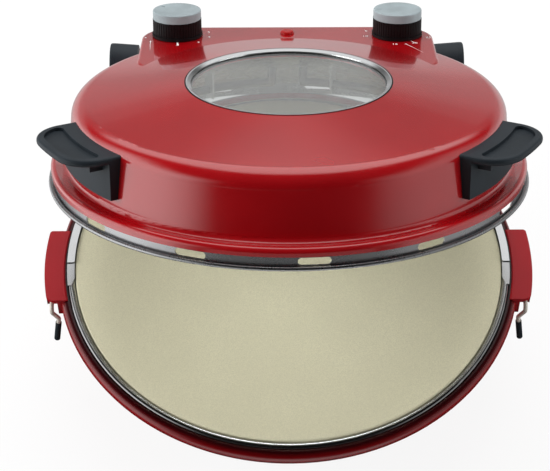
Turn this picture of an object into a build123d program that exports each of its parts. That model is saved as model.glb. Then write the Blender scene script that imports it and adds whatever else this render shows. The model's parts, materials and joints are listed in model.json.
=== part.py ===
from build123d import *
import os
from math import asin, cos, radians, sin, sqrt, tan

# Countertop pizza oven: a round base with a baking stone and a heated lid on a rear hinge.
# All lengths are millimetres and all angles are degrees.
# While the pieces are made, the stone's axis is the Z axis, the table is Z = 0, the front is -Y
# and the lid is shut. At the end the lid's pieces swing to their opening at rest, and the whole
# oven shifts along Y, so that the origin is the centre of its footprint.

# Baking stone
STONE_D = 320.0
STONE_T = 12.0
STONE_EDGE_R = 1.2
STONE_GAP = 0.5

# Tray under the stone, pressed from sheet, with its rolled rim and the guard on the rear half
SEAT_Z = 83.0
TRAY_T = 1.0
TRAY_LEDGE_W = 8.5
TRAY_WALL_TAPER = 10.5
TRAY_FLOOR_Z = 49.0
RIM_ROLL_R = 2.8
RIM_PROUD = 0.7
GUARD_T = 0.9
GUARD_DIP_ANGLE = 1.25
GUARD_CORNER_R = 1.5
LAND_T = 0.9
LAND_FULL_ANGLE = 5.5
LAND_END_ANGLE = 8.5

# Base shell, a painted bowl
BASE_T = 1.5
RIM_TO_LIP_GAP = 0.5
LIP_W = 6.4
LIP_DROP = 0.5
LIP_H = 11.5
LIP_NECK_W = 3.5
LIP_LEDGE_W = 4.2
BOWL_FOOT_R = 116.0
BOWL_BULGE = 4.8
BOWL_HOLE_R = 92.0

# Bottom plate, its vents and screws
PLATE_T = 1.2
PLATE_LAP = 7.0
PLATE_SCREW_COUNT = 4
VENT_COUNT = 12
VENT_CIRCLE_R = 60.0
VENT_L = 34.0
VENT_W = 4.0

# Feet
FOOT_H = 14.0
FOOT_R = 8.0
FOOT_TOE_R = 6.5
FOOT_CIRCLE_R = 107.5
FOOT_ANGLES = {"rear_right": 45.0, "rear_left": 135.0, "front_left": 225.0, "front_right": 315.0}
FOOT_STEM_R = 3.0
FOOT_STEM_L = 4.0

# Tubular heating elements and the straps that hold them
ELEMENT_R = 3.2
ELEMENT_TAIL_X = 12.0
LOWER_ELEMENT_R = 112.0
LOWER_ELEMENT_Z = 61.0
LOWER_TAIL_Z = 38.0
UPPER_ELEMENT_R = 112.0
UPPER_ELEMENT_DROP = 12.0
UPPER_TAIL_L = 24.0
CLIP_W = 12.0
CLIP_T = 1.4
CLIP_EDGE = 3.0
LOWER_CLIP_ANGLES = (-90.0, 30.0, 150.0)
UPPER_CLIP_ANGLES = (72.0, 122.0, 252.0, 302.0)

# Side blocks on the base, and the wire latches that they carry
BLOCK_REACH = 10.0
BLOCK_INSET = 0.7
BLOCK_H = 16.5
BLOCK_TOP_RISE = 0.8
BLOCK_FRONT_Y = -38.0
BLOCK_REAR_Y = 27.5
BLOCK_FRONT_R = 6.0
BLOCK_REAR_R = 2.5
BLOCK_EDGE_R = 1.5
LATCH_REACH = 3.0
LATCH_DROP = 7.0
LATCH_WIRE_R = 1.6
LATCH_BEND_R = 4.0
LATCH_CRANK_R = 2.5
LATCH_ARM_Y = -40.0
LATCH_CRANK_IN = 4.4
LATCH_CRANK_TOP = 5.5
LATCH_CRANK_H = 12.5
LATCH_TIP_IN = 0.7
LATCH_TIP_H = 37.5
LATCH_SLEEVE_R = 2.3
LATCH_SLEEVE_L = 21.0
LATCH_SLEEVE_END = 1.0
LATCH_HEAD_R = 2.8
LATCH_HEAD_L = 1.6
POCKET_W = 9.0
POCKET_L = 9.0

# Hinge: posts on the base, steel pins, end caps
HINGE_Y = 180.5
HINGE_Z = 116.3
LID_OPEN = 28.0
PIN_R = 4.0
PIN_CHAMFER = 0.5
PIN_IN_LID = 11.0
POST_BARREL_L = 19.0
POST_BARREL_IN_R = 17.0
POST_BARREL_OUT_R = 18.4
POST_ARM_W = 16.0
POST_ROOT_Y = 88.0
POST_ROOT_Z = 58.0
POST_ROOT_TOP_DROP = 4.0
POST_KNEE_Y = 140.0
POST_KNEE_Z = 66.0
POST_TOP_ANGLE = 215.0
POST_HEEL_ANGLE = -45.0
CAP_L = 3.4
CAP_DOME = 1.4
CAP_PLUG_R = 9.0
CAP_PLUG_L = 4.0

# Lid shell, a painted drum with a stepped skirt
LID_T = 1.5
LID_EDGE_GAP = 1.3
BEAD_R = 1.5
BEAD_IN = 3.6
BAND_H = 9.2
SKIRT_INSET = 4.0
SKIRT_H = 2.6
SKIRT_RIDGE_R = 3.4
STEP_W = 8.5
STEP_DIP = 1.4
WALL_INSET = 4.2
WALL_FOOT_FILLET = 4.0
WALL_LEAN = 3.3
WALL_H = 30.0
SHOULDER_R = 12.0
DOME_SLOPE = 7.8

# Window in the lid
WINDOW_HOLE_R = 73.2
COLLAR_H = 7.0
COLLAR_LIP_W = 5.2
COLLAR_LIP_T = 1.2
GASKET_T = 0.8
GASKET_PAD_T = 1.2
GASKET_PROUD = 0.3
GLASS_T = 2.8
WINDOW_RING_W = 3.4
WINDOW_RING_TOP_W = 1.1
WINDOW_RING_INNER_T = 0.8
WINDOW_RING_PROUD = 0.4

# Inner reflector of the lid with its slotted band
REFLECTOR_T = 0.9
CEILING_INSET = 2.5
SLOT_COUNT = 13
SLOT_START_ANGLE = -84.9
SLOT_L = 21.5
SLOT_H = 5.0
SLOT_DROP = 0.9

# Control hood behind the dome
PANEL_DROP = 6.0
PANEL_HALF_W = 111.0
PANEL_REAR_Y = 146.0
PANEL_FRONT_Y = 40.0
PANEL_REAR_CORNER_R = 28.0
PANEL_FRONT_CORNER_R = 25.0
PANEL_EDGE_R = 2.0
HOOD_FOOT_HALF_W = 118.0
HOOD_BARREL_R = 18.2
HOOD_T = 2.2
HOOD_FLOOR_T = 2.2
COVER_T = 2.2
BOSS_R = 8.0
POST_SIDE_GAP = 1.0

# Knobs, their shafts and mechanisms, and the lamp
KNOB_X = 84.3
KNOB_Y = 126.0
KNOB_R = 18.6
KNOB_FLANGE_R = 19.3
KNOB_FLANGE_H = 2.0
KNOB_H = 13.4
KNOB_GAP = 0.4
FLUTE_COUNT = 54
FLUTE_R = 0.4
KNOB_CAP_R = 18.4
KNOB_CAP_H = 6.6
KNOB_CAP_EDGE_R = 1.0
MARK_R = 14.0
MARK_L = 4.0
MARK_W = 1.0
MARK_DEPTH = 0.35
MARK_ANGLES = {"left": 142.0, "right": -177.0}
SHAFT_R = 3.0
SHAFT_L = 24.0
SHAFT_IN_KNOB = 9.0
MECHANISM_R = 16.0
MECHANISM_H = 22.0
MECHANISM_FLANGE_T = 2.0
MECHANISM_FLANGE_L = 42.0
MECHANISM_FLANGE_W = 14.0
LAMP_Y = 130.0
LAMP_R = 5.4
LAMP_DOME_H = 2.4
LAMP_EDGE_R = 2.1
LAMP_STEM_R = 4.0
LAMP_STEM_L = 9.0

# Handles on the lid
HANDLE_ANGLE = 29.3
HANDLE_HALF_W = 38.0
HANDLE_REACH = 31.0
HANDLE_CROWN = 3.2
HANDLE_CORNER_R = 24.0
HANDLE_T = 5.1
HANDLE_TOP_RISE = 5.5
HANDLE_EDGE_R = 2.2
HANDLE_PLATE_T = 4.4
HANDLE_PLATE_H = 24.9
PAN_DEPTH = 2.2
PAN_INNER_RIM = 9.0
PAN_RIM = 5.0
PAN_CORNER_R = 4.0
CATCH_L = 6.0
CATCH_H = 5.4
CATCH_OFFSET = 27.0
HANDLE_SCREW_SPREAD = 7.0
HANDLE_SCREW_DROP = 17.0
HANDLE_SCREW_L = 5.5

# Cord gland at the back of the hood
GLAND_X = 72.0
GLAND_R = 6.5
GLAND_TIP_R = 5.0
GLAND_BORE_R = 3.6
GLAND_L = 12.0

# Screws, all of one kind
SCREW_R = 2.0
SCREW_HEAD_R = 3.8
SCREW_HEAD_H = 2.2
SCREW_HEAD_TAPER = 12.0
SCREW_L = 5.0

# Clearances
FIT = 0.05
SLIDE = 0.15
RUNNING = 0.3

# Levels, radii and places that follow from the sizes above
STONE_TOP_Z = SEAT_Z + STONE_T
TRAY_WALL_R = STONE_D / 2 + STONE_GAP
RIM_R = TRAY_WALL_R + RIM_ROLL_R
RIM_OUT_R = RIM_R + RIM_ROLL_R
RIM_TOP_Z = STONE_TOP_Z + RIM_PROUD
RIM_Z = RIM_TOP_Z - RIM_ROLL_R
LIP_IN_R = RIM_OUT_R + RIM_TO_LIP_GAP
BASE_R = LIP_IN_R + LIP_W
LIP_TOP_Z = STONE_TOP_Z - LIP_DROP
LEDGE_Z = RIM_Z - RIM_ROLL_R / 2
SKIRT_R = BASE_R - SKIRT_INSET
STEP_R = SKIRT_R - STEP_W
WALL_FOOT_R = STEP_R - WALL_INSET
WALL_TOP_R = WALL_FOOT_R - WALL_LEAN
CEILING_OUT_R = STEP_R - CEILING_INSET
BEAD_RING_R = BASE_R - BEAD_IN
BAND_OUT_R = SKIRT_R - LID_T - FIT
LID_EDGE_Z = LIP_TOP_Z + LID_EDGE_GAP
BEAD_Z = LID_EDGE_Z + BEAD_R
SKIRT_Z = LID_EDGE_Z + BAND_H
RIDGE_Z = SKIRT_Z + SKIRT_H
FLANGE_Z = RIDGE_Z + SKIRT_RIDGE_R
STEP_Z = FLANGE_Z - STEP_DIP
WALL_FOOT_Z = STEP_Z + WALL_FOOT_FILLET
WALL_TOP_Z = WALL_FOOT_Z + WALL_H
SHOULDER_RING_R = WALL_TOP_R - SHOULDER_R
DOME_START_R = SHOULDER_RING_R + SHOULDER_R * sin(radians(DOME_SLOPE))
DOME_START_Z = WALL_TOP_Z + SHOULDER_R * cos(radians(DOME_SLOPE))
WINDOW_Z = DOME_START_Z + (DOME_START_R - WINDOW_HOLE_R) * tan(radians(DOME_SLOPE))
PANEL_Z = WINDOW_Z - PANEL_DROP
HOOD_FLOOR_Z = FLANGE_Z + HOOD_FLOOR_T
COLLAR_Z = WINDOW_Z - COLLAR_H
COLLAR_OUT_R = WINDOW_HOLE_R + LID_T
PAD_Z = COLLAR_Z + COLLAR_LIP_T + FIT
GLASS_Z = PAD_Z + GASKET_PAD_T
GLASS_R = WINDOW_HOLE_R - GASKET_T - 2 * FIT
CEILING_Z = STEP_Z - LID_T - SLIDE
CEILING_IN_R = COLLAR_OUT_R + SLIDE + REFLECTOR_T
CEILING_SLOPE = (COLLAR_Z - CEILING_Z) / (CEILING_OUT_R - CEILING_IN_R)
UPPER_ELEMENT_Z = CEILING_Z + (CEILING_OUT_R - UPPER_ELEMENT_R) * CEILING_SLOPE - UPPER_ELEMENT_DROP
LATCH_Z = STONE_TOP_Z - LATCH_DROP
LATCH_X = BASE_R + LATCH_REACH
BLOCK_OUT_R = BASE_R + BLOCK_REACH
BLOCK_IN_R = LIP_IN_R + BLOCK_INSET
BLOCK_TOP_Z = LIP_TOP_Z + BLOCK_TOP_RISE
POST_IN_X = HOOD_FOOT_HALF_W + POST_SIDE_GAP
HANDLE_TOP_Z = WALL_TOP_Z + HANDLE_TOP_RISE
HANDLE_OUT_R = WALL_TOP_R + HANDLE_REACH
HANDLE_SCREW_Z = HANDLE_TOP_Z - HANDLE_SCREW_DROP
HANDLE_SCREW_RISE = HANDLE_SCREW_Z + SCREW_HEAD_R - WALL_FOOT_Z
HANDLE_SCREW_SEAT_R = WALL_FOOT_R - WALL_LEAN * HANDLE_SCREW_RISE / WALL_H - LID_T - SLIDE
PLATE_R = BOWL_HOLE_R + PLATE_LAP
GLAND_REACH = HOOD_BARREL_R + GLAND_L
REAR_Y = HINGE_Y + GLAND_REACH * cos(radians(LID_OPEN)) + GLAND_TIP_R * sin(radians(LID_OPEN))
FOOTPRINT_SHIFT_Y = (BASE_R - REAR_Y) / 2

HINGE_AXIS = Axis((0, HINGE_Y, HINGE_Z), (-1, 0, 0))
SIDES = {"left": -1, "right": 1}


def finish(piece, name, on_lid=False):
    """Swing a lid piece to its opening at rest, shift the piece to the footprint and write it."""
    placed = piece.rotate(HINGE_AXIS, LID_OPEN) if on_lid else piece
    placed = Pos(0, FOOTPRINT_SHIFT_Y, 0) * placed
    placed.label = name
    export_step(placed, f"parts/{name}.step")


def polar(radius, angle):
    """X and Y of a point at a radius and an angle about the stone's axis."""
    return radius * cos(radians(angle)), radius * sin(radians(angle))


def turned_plane(angle, z=0.0):
    """A level plane on the stone's axis, whose X axis points outward at the given angle."""
    return Plane(origin=(0, 0, z), x_dir=(*polar(1, angle), 0), z_dir=(0, 0, 1))


def section_plane(angle):
    """The upright half plane through the stone's axis at an angle, with radius as X and Z as Y."""
    return Plane(origin=(0, 0, 0), x_dir=(*polar(1, angle), 0), z_dir=(*polar(1, angle - 90), 0))


def outward_plane(angle, radius, z):
    """An upright plane that faces outward at a radius and an angle about the stone's axis."""
    return Plane(origin=(*polar(radius, angle), z), x_dir=(*polar(1, angle + 90), 0),
                 z_dir=(*polar(1, angle), 0))


def inward_plane(angle, radius, z):
    """An upright plane that faces the stone's axis from a radius and an angle."""
    return Plane(origin=(*polar(radius, angle), z), x_dir=(*polar(1, angle - 90), 0),
                 z_dir=(*polar(-1, angle), 0))


def keep_half():
    """Keep what the sketch under construction has beyond the stone's axis."""
    Rectangle(2 * BASE_R, 4 * BASE_R, align=(Align.MIN, Align.CENTER), mode=Mode.INTERSECT)


def bowl_outline(grow=0.0):
    """Half section of the filled base shell, with radius as X and height as Y."""
    foot = (BOWL_FOOT_R, FOOT_H)
    neck = (BASE_R - LIP_NECK_W, LIP_TOP_Z - LIP_H)
    lip_top = (LIP_IN_R, LIP_TOP_Z)
    with BuildSketch() as outline:
        with BuildLine():
            Line((0, FOOT_H), foot)
            SagittaArc(foot, neck, -BOWL_BULGE)
            ThreePointArc(neck, (BASE_R, LIP_TOP_Z - LIP_H / 2), lip_top)
            Polyline(lip_top, (0, LIP_TOP_Z), (0, FOOT_H))
        make_face()
        mirror(about=Plane.YZ)
        if grow:
            offset(amount=grow, kind=Kind.INTERSECTION)
        keep_half()
    return outline.sketch


def filled_bowl(grow=0.0):
    """The base shell as a filled body, grown by a clearance."""
    with BuildPart() as body:
        with BuildSketch(Plane.XZ):
            add(bowl_outline(grow))
        revolve(axis=Axis.Z)
    return body.part


def filled_drum(grow=0.0):
    """The lid drum as a filled body: skirt, ridge, step, wall, shoulder and dome."""
    half_turn = radians(45)
    ridge_mid = (SKIRT_R - SKIRT_RIDGE_R * (1 - cos(half_turn)), RIDGE_Z + SKIRT_RIDGE_R * sin(half_turn))
    ridge_end = (SKIRT_R - SKIRT_RIDGE_R, FLANGE_Z)
    foot_turn = WALL_FOOT_FILLET * (1 - cos(half_turn))
    shoulder_mid = radians((90 + DOME_SLOPE) / 2)
    dome_start = (DOME_START_R, DOME_START_Z)
    with BuildPart() as body:
        with BuildSketch(Plane.XZ):
            with BuildLine():
                Polyline((0, SKIRT_Z), (SKIRT_R, SKIRT_Z), (SKIRT_R, RIDGE_Z))
                ThreePointArc((SKIRT_R, RIDGE_Z), ridge_mid, ridge_end)
                Line(ridge_end, (STEP_R, STEP_Z))
                ThreePointArc((STEP_R, STEP_Z), (WALL_FOOT_R + foot_turn, STEP_Z + foot_turn),
                              (WALL_FOOT_R, WALL_FOOT_Z))
                Line((WALL_FOOT_R, WALL_FOOT_Z), (WALL_TOP_R, WALL_TOP_Z))
                ThreePointArc((WALL_TOP_R, WALL_TOP_Z),
                              (SHOULDER_RING_R + SHOULDER_R * cos(shoulder_mid),
                               WALL_TOP_Z + SHOULDER_R * sin(shoulder_mid)),
                              dome_start)
                Polyline(dome_start, (WINDOW_HOLE_R, WINDOW_Z), (0, WINDOW_Z), (0, SKIRT_Z))
            make_face()
            mirror(about=Plane.YZ)
            if grow:
                offset(amount=grow, kind=Kind.INTERSECTION)
            keep_half()
        revolve(axis=Axis.Z)
    return body.part


def hood_plan(z, half_w, rear_y, inset):
    """One level outline of the control hood."""
    with BuildSketch(Plane.XY.offset(z)) as outline:
        with Locations((0, PANEL_FRONT_Y + inset)):
            Rectangle(2 * (half_w - inset), rear_y - PANEL_FRONT_Y - 2 * inset,
                      align=(Align.CENTER, Align.MIN))
        fillet(outline.vertices().group_by(Axis.Y)[0], radius=PANEL_FRONT_CORNER_R)
        fillet(outline.vertices().group_by(Axis.Y)[-1], radius=PANEL_REAR_CORNER_R)
    return outline.sketch


def filled_hood(inset=0.0):
    """The control hood with its hinge barrel as a filled body, or the hollow inside it."""
    reach = Vector(HINGE_Y - PANEL_REAR_Y, PANEL_Z - HINGE_Z)
    slope = radians(reach.get_angle(Vector(1, 0))) - asin(HOOD_BARREL_R / reach.length)
    foot_z = SKIRT_Z - inset
    foot_rear_y = PANEL_REAR_Y + (PANEL_Z - foot_z) / tan(slope)
    with BuildPart() as body:
        add(hood_plan(PANEL_Z - inset, PANEL_HALF_W, PANEL_REAR_Y, inset))
        add(hood_plan(foot_z, HOOD_FOOT_HALF_W, foot_rear_y, inset))
        loft(ruled=True)
        fillet(body.faces().sort_by(Axis.Z)[-1].edges(), radius=PANEL_EDGE_R)
        with BuildSketch(Plane.YZ.offset(-HOOD_FOOT_HALF_W)):
            with Locations((HINGE_Y, HINGE_Z)):
                Circle(HOOD_BARREL_R - inset)
            with Locations((HINGE_Y, foot_z)):
                Rectangle(HINGE_Y, PANEL_Z - foot_z, align=(Align.MAX, Align.MIN))
            with BuildLine():
                Polyline((HINGE_Y, PANEL_Z), (HINGE_Y, HINGE_Z),
                         (HINGE_Y + HOOD_BARREL_R * sin(slope), HINGE_Z + HOOD_BARREL_R * cos(slope)),
                         (HINGE_Y + HOOD_BARREL_R * sin(slope), PANEL_Z), close=True)
            make_face()
        extrude(amount=2 * HOOD_FOOT_HALF_W, mode=Mode.INTERSECT)
        with BuildSketch(Plane.XY.offset(foot_z)):
            with Locations((0, HINGE_Y)):
                Rectangle(4 * HINGE_Y, 4 * HINGE_Y)
        extrude(amount=-HINGE_Z, mode=Mode.SUBTRACT)
    return body.part


def wing_outline(inset=0.0):
    """Level outline of a handle's wing, or of the pan inside its rim, with X pointing outward."""
    corner_u = HANDLE_OUT_R - HANDLE_CROWN - inset
    half_w = HANDLE_HALF_W - inset
    with BuildSketch() as outline:
        with BuildLine():
            ThreePointArc((corner_u, -half_w), (HANDLE_OUT_R - inset, 0), (corner_u, half_w))
            Polyline((corner_u, half_w), (SHOULDER_RING_R, half_w), (SHOULDER_RING_R, -half_w),
                     (corner_u, -half_w))
        make_face()
        fillet(outline.vertices().sort_by(Axis.X)[-2:], radius=HANDLE_CORNER_R - inset)
    return outline.sketch


def turned_ring(inner_r, outer_r, bottom_z, top_z):
    """A plain ring about the stone's axis, or a disc where it has no inner radius."""
    with BuildPart() as body:
        with BuildSketch(Plane.XY.offset(bottom_z)):
            Circle(outer_r)
            if inner_r:
                Circle(inner_r, mode=Mode.SUBTRACT)
        extrude(amount=top_z - bottom_z)
    return body.part


def rod(plane, radius, length):
    """A round bar that stands on a plane."""
    with BuildPart() as body:
        with BuildSketch(plane):
            Circle(radius)
        extrude(amount=length)
    return body.part


def screw(plane, length):
    """A screw whose head stands on the plane, with its shank below."""
    with BuildPart() as body:
        with BuildSketch(plane):
            Circle(SCREW_HEAD_R)
        extrude(amount=SCREW_HEAD_H, taper=SCREW_HEAD_TAPER)
        with BuildSketch(plane):
            Circle(SCREW_R)
        extrude(amount=-length)
    return body.part


def element(ring_r, ring_z, tail_z):
    """A tubular heating element: one open turn, whose two ends turn up or down at the back."""
    tail_y = sqrt(ring_r ** 2 - ELEMENT_TAIL_X ** 2)
    tail_angle = Vector(0, 1).get_angle(Vector(ELEMENT_TAIL_X, tail_y))
    with BuildPart() as body:
        with BuildSketch(section_plane(90 + tail_angle)):
            with Locations((ring_r, ring_z)):
                Circle(ELEMENT_R)
        revolve(axis=Axis.Z, revolution_arc=360 - 2 * tail_angle)
        for side in SIDES.values():
            with BuildSketch(Plane.XY.offset(ring_z)):
                with Locations((side * ELEMENT_TAIL_X, tail_y)):
                    Circle(ELEMENT_R)
            extrude(amount=tail_z - ring_z)
            with Locations((side * ELEMENT_TAIL_X, tail_y, ring_z)):
                Sphere(ELEMENT_R)
    return body.part


def element_tail_holes(ring_r, bottom_z, top_z):
    """The holes that the ends of an element pass through."""
    tail_y = sqrt(ring_r ** 2 - ELEMENT_TAIL_X ** 2)
    with BuildPart() as body:
        with BuildSketch(Plane.XY.offset(bottom_z)):
            with Locations(*[(side * ELEMENT_TAIL_X, tail_y) for side in SIDES.values()]):
                Circle(ELEMENT_R + RUNNING)
        extrude(amount=top_z - bottom_z)
    return body.part


def clip_plates(ring_r, ring_z, angles, low_z, high_z):
    """Upright plates across an element, each with a hole that the element passes through."""
    with BuildPart() as body:
        for angle in angles:
            with BuildSketch(turned_plane(angle, low_z)):
                with Locations((ring_r, 0)):
                    Rectangle(CLIP_W, CLIP_T)
            extrude(amount=high_z - low_z)
        with BuildSketch(Plane.XZ):
            with Locations((ring_r, ring_z)):
                Circle(ELEMENT_R + FIT)
        revolve(axis=Axis.Z, mode=Mode.SUBTRACT)
    return body.part


def latch_path(side):
    """The run of a latch wire: its axle, the bend at the front and the cranked arm."""
    x = side * LATCH_X
    return ((x, BLOCK_REAR_Y + RUNNING + LATCH_HEAD_L, LATCH_Z),
            (x, LATCH_ARM_Y, LATCH_Z),
            (x, LATCH_ARM_Y, LATCH_Z - LATCH_CRANK_TOP),
            (x - side * LATCH_CRANK_IN, LATCH_ARM_Y, LATCH_Z - LATCH_CRANK_H),
            (x - side * LATCH_TIP_IN, LATCH_ARM_Y, LATCH_Z - LATCH_TIP_H))


os.makedirs("parts", exist_ok=True)
base_clear = filled_bowl(FIT)
drum_clear = filled_drum(FIT)

# Baking stone, a plain disc with eased edges
with BuildPart() as pizza_stone:
    with BuildSketch(Plane.XY.offset(SEAT_Z + FIT)):
        Circle(STONE_D / 2)
    extrude(amount=STONE_T - FIT)
    fillet(pizza_stone.edges().filter_by(GeomType.CIRCLE), radius=STONE_EDGE_R)
finish(pizza_stone.part, "pizza_stone")

# Tray: its rolled rim hangs on the base, its ledge carries the stone, its floor carries the element
with BuildPart() as lower_reflector:
    with BuildSketch(Plane.XZ):
        with BuildLine():
            Line((RIM_OUT_R, LEDGE_Z + FIT), (RIM_OUT_R, RIM_Z))
            ThreePointArc((RIM_OUT_R, RIM_Z), (RIM_R, RIM_TOP_Z), (TRAY_WALL_R, RIM_Z))
            Polyline((TRAY_WALL_R, RIM_Z), (TRAY_WALL_R, SEAT_Z), (TRAY_WALL_R - TRAY_LEDGE_W, SEAT_Z),
                     (TRAY_WALL_R - TRAY_LEDGE_W - TRAY_WALL_TAPER, TRAY_FLOOR_Z), (0, TRAY_FLOOR_Z))
            offset(amount=TRAY_T, side=Side.LEFT, kind=Kind.INTERSECTION)
        make_face()
    revolve(axis=Axis.Z)
    for facing, turn in ((0, -1), (180, 1)):
        with BuildSketch(Plane.XY.offset(RIM_TOP_Z - LAND_T)):
            with BuildLine():
                Polyline(polar(TRAY_WALL_R - TRAY_T, facing + turn * GUARD_DIP_ANGLE),
                         polar(RIM_OUT_R + TRAY_T, facing + turn * GUARD_DIP_ANGLE),
                         polar(RIM_OUT_R + TRAY_T, facing + turn * LAND_END_ANGLE),
                         polar(RIM_R, facing + turn * LAND_END_ANGLE),
                         polar(TRAY_WALL_R - TRAY_T, facing + turn * LAND_FULL_ANGLE), close=True)
            make_face()
            Circle(RIM_OUT_R, mode=Mode.INTERSECT)
            Circle(TRAY_WALL_R, mode=Mode.SUBTRACT)
        extrude(amount=LAND_T)
    add(element_tail_holes(LOWER_ELEMENT_R, LOWER_TAIL_Z, LOWER_ELEMENT_Z), mode=Mode.SUBTRACT)
finish(lower_reflector.part, "lower_reflector")

# Guard, a flat polished strip over the rear half of the rolled rim
with BuildPart() as rear_rim_guard:
    with BuildSketch(section_plane(-GUARD_DIP_ANGLE)):
        with Locations((TRAY_WALL_R, RIM_TOP_Z + FIT)):
            Rectangle(RIM_OUT_R - TRAY_WALL_R, GUARD_T, align=(Align.MIN, Align.MIN))
    revolve(axis=Axis.Z, revolution_arc=180 + 2 * GUARD_DIP_ANGLE)
    end_edges = rear_rim_guard.edges().filter_by(Axis.Z)
    fillet(end_edges.sort_by_distance((0, 0, RIM_TOP_Z))[:2], radius=GUARD_CORNER_R)
finish(rear_rim_guard.part, "rear_rim_guard")

# Lower heating element and its plates, which stand on the tray
finish(element(LOWER_ELEMENT_R, LOWER_ELEMENT_Z, LOWER_TAIL_Z), "lower_heater")
finish(clip_plates(LOWER_ELEMENT_R, LOWER_ELEMENT_Z, LOWER_CLIP_ANGLES, TRAY_FLOOR_Z + FIT,
                   LOWER_ELEMENT_Z + ELEMENT_R + CLIP_EDGE), "lower_heater_clips")

# Base shell: a sheet bowl with an opening in its floor and a ledge inside its lip
with BuildPart() as base_shell:
    with BuildSketch(Plane.XZ):
        add(bowl_outline())
        add(bowl_outline(-BASE_T), mode=Mode.SUBTRACT)
        with Locations((LIP_IN_R + BASE_T, LEDGE_Z - BASE_T)):
            Rectangle(BASE_T, LIP_TOP_Z - LEDGE_Z + BASE_T / 2, align=(Align.MAX, Align.MIN))
            Rectangle(LIP_LEDGE_W + BASE_T, BASE_T, align=(Align.MAX, Align.MIN))
        with Locations((LIP_IN_R, LEDGE_Z)):
            Rectangle(LIP_IN_R, LIP_H, align=(Align.MAX, Align.MIN), mode=Mode.SUBTRACT)
        Rectangle(BOWL_HOLE_R, FOOT_H + BASE_T, align=(Align.MIN, Align.MIN), mode=Mode.SUBTRACT)
    revolve(axis=Axis.Z)
    for angle in FOOT_ANGLES.values():
        add(rod(Plane(origin=(*polar(FOOT_CIRCLE_R, angle), FOOT_H)), FOOT_STEM_R + FIT, BASE_T),
            mode=Mode.SUBTRACT)
    with BuildSketch(Plane.XY.offset(FOOT_H)):
        with PolarLocations(BOWL_HOLE_R + PLATE_LAP / 2, PLATE_SCREW_COUNT):
            Circle(SCREW_R + FIT)
    extrude(amount=BASE_T, mode=Mode.SUBTRACT)
finish(base_shell.part, "base_shell")

# Bottom plate with a ring of vent slots
with BuildPart() as bottom_plate:
    with BuildSketch(Plane.XY.offset(FOOT_H - FIT - PLATE_T)):
        Circle(PLATE_R)
        with PolarLocations(VENT_CIRCLE_R, VENT_COUNT):
            SlotOverall(VENT_L, VENT_W, mode=Mode.SUBTRACT)
        with PolarLocations(BOWL_HOLE_R + PLATE_LAP / 2, PLATE_SCREW_COUNT):
            Circle(SCREW_R + FIT, mode=Mode.SUBTRACT)
    extrude(amount=PLATE_T)
finish(bottom_plate.part, "bottom_plate")

# Screws of the bottom plate, four alike
with BuildPart() as bottom_screws:
    for place in PolarLocations(BOWL_HOLE_R + PLATE_LAP / 2, PLATE_SCREW_COUNT):
        under_plate = Vector(place.position.X, place.position.Y, FOOT_H - PLATE_T - 2 * FIT)
        add(screw(Plane(origin=under_plate, x_dir=(1, 0, 0), z_dir=(0, 0, -1)), SCREW_L))
finish(bottom_screws.part, "bottom_screws")

# Feet, four alike, each with a stem through the base shell
for name, angle in FOOT_ANGLES.items():
    foot_place = polar(FOOT_CIRCLE_R, angle)
    with BuildPart() as foot:
        with BuildSketch(Plane(origin=(*foot_place, 0))):
            Circle(FOOT_TOE_R)
        with BuildSketch(Plane(origin=(*foot_place, FOOT_H - FIT))):
            Circle(FOOT_R)
        loft()
        with BuildSketch(Plane(origin=(*foot_place, FOOT_H - FIT))):
            Circle(FOOT_STEM_R)
        extrude(amount=FOOT_STEM_L)
    finish(foot.part, f"{name}_foot")

# Side blocks, which hug the lip of the base and carry the latch wires
for name, side in SIDES.items():
    with BuildPart() as side_block:
        with BuildSketch(Plane.XY.offset(BLOCK_TOP_Z - BLOCK_H)) as block_plan:
            Circle(BLOCK_OUT_R)
            Circle(BLOCK_IN_R, mode=Mode.SUBTRACT)
            with Locations((side * BASE_R, BLOCK_FRONT_Y)):
                Rectangle(2 * BASE_R, BLOCK_REAR_Y - BLOCK_FRONT_Y, align=(Align.CENTER, Align.MIN),
                          mode=Mode.INTERSECT)
            outer_corners = block_plan.vertices().sort_by_distance((0, 0))[-2:].sort_by(Axis.Y)
            fillet(outer_corners[0], radius=BLOCK_FRONT_R)
            fillet(block_plan.vertices().sort_by_distance((side * BLOCK_OUT_R, BLOCK_REAR_Y))[0],
                   radius=BLOCK_REAR_R)
        extrude(amount=BLOCK_H)
        fillet(side_block.edges().filter_by(GeomType.CIRCLE).sort_by(SortBy.LENGTH)[-2:],
               radius=BLOCK_EDGE_R)
        add(base_clear, mode=Mode.SUBTRACT)
        with BuildSketch(Plane.XZ.offset(-BLOCK_REAR_Y)):
            with Locations((side * LATCH_X, LATCH_Z)):
                Circle(LATCH_WIRE_R + FIT)
        extrude(amount=BLOCK_REAR_Y - BLOCK_FRONT_Y, mode=Mode.SUBTRACT)
        with BuildSketch(Plane.XZ.offset(-BLOCK_FRONT_Y)):
            with Locations((side * LATCH_X, LATCH_Z + POCKET_W / 2)):
                Rectangle(POCKET_W, BLOCK_H, align=(Align.CENTER, Align.MAX))
        extrude(amount=-POCKET_L, mode=Mode.SUBTRACT)
    finish(side_block.part, f"{name}_side_block")

# Latch wires, bent from one rod with a riveted rear end
for name, side in SIDES.items():
    run = latch_path(side)
    with BuildPart() as latch_wire:
        with BuildLine():
            FilletPolyline(*run, radius=(LATCH_BEND_R, LATCH_CRANK_R, LATCH_CRANK_R))
        with BuildSketch(Plane(origin=run[0], x_dir=(1, 0, 0), z_dir=(0, -1, 0))):
            Circle(LATCH_WIRE_R)
        sweep()
        with BuildSketch(Plane(origin=run[0], x_dir=(1, 0, 0), z_dir=(0, -1, 0))):
            Circle(LATCH_HEAD_R)
        extrude(amount=LATCH_HEAD_L)
    finish(latch_wire.part, f"{name}_latch_wire")

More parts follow.
